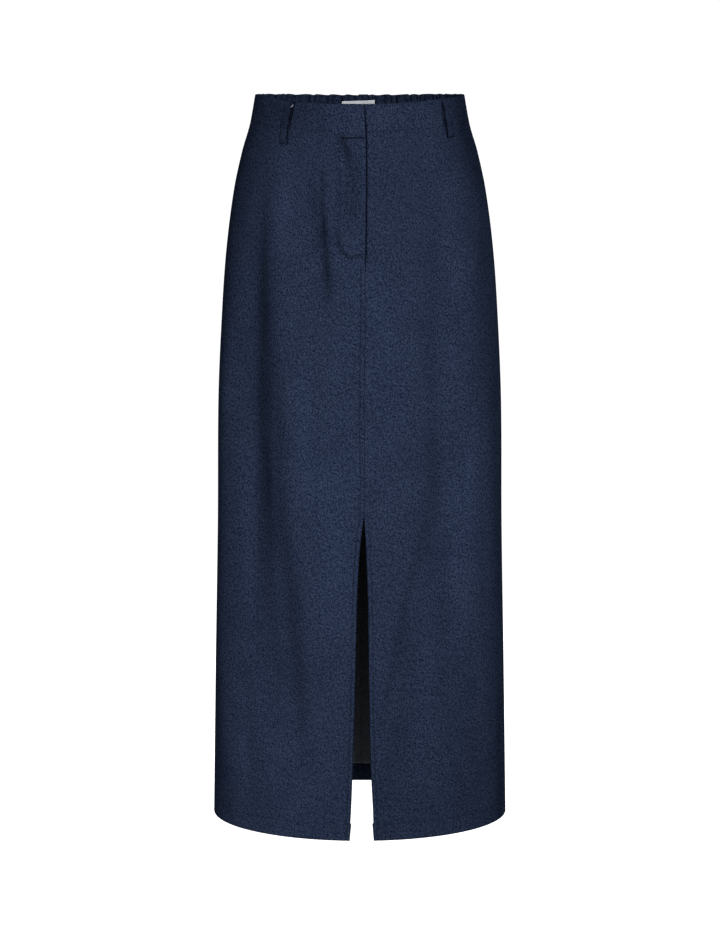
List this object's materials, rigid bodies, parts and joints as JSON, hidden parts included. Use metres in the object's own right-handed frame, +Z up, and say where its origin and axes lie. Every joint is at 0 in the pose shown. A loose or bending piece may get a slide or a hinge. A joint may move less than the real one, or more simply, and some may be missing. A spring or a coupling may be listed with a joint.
{
  "type": "denim skirt",
  "caption": "Long straight denim skirt with a fly front, a front slit and a gathered elastic back waistband, filled out as if worn.",
  "frame": {"origin": "centre of the waist opening, level with the top of the side seams, where the wearer's waist holds the skirt", "axes": "+Z up along the body, -Y towards the front of the skirt, +X towards the wearer's left"},
  "size_m": [0.3884, 0.2479, 0.9405],
  "materials": {
    "denim": "dark navy denim, matt twill, charcoal on the wrong side",
    "label_tape": "plain white woven tape, blank",
    "zip_tape": "navy zip tape",
    "fastener_metal": "pressed steel"
  },
  "bodies": {
    "root": {"front_right_panel": "denim", "front_left_panel": "denim", "back_right_panel": "denim", "back_left_panel": "denim", "waistband_front_right": "denim", "waistband_front_left": "denim", "waistband_back": "denim", "belt_loop_front_right": "denim", "belt_loop_front_left": "denim", "belt_loop_back_right": "denim", "belt_loop_back_centre": "denim", "belt_loop_back_left": "denim", "waist_label": "label_tape", "zip_tape": "zip_tape", "zip_slider": "fastener_metal", "waist_hook": "fastener_metal", "waist_bar": "fastener_metal"}
  },
  "joints": []
}
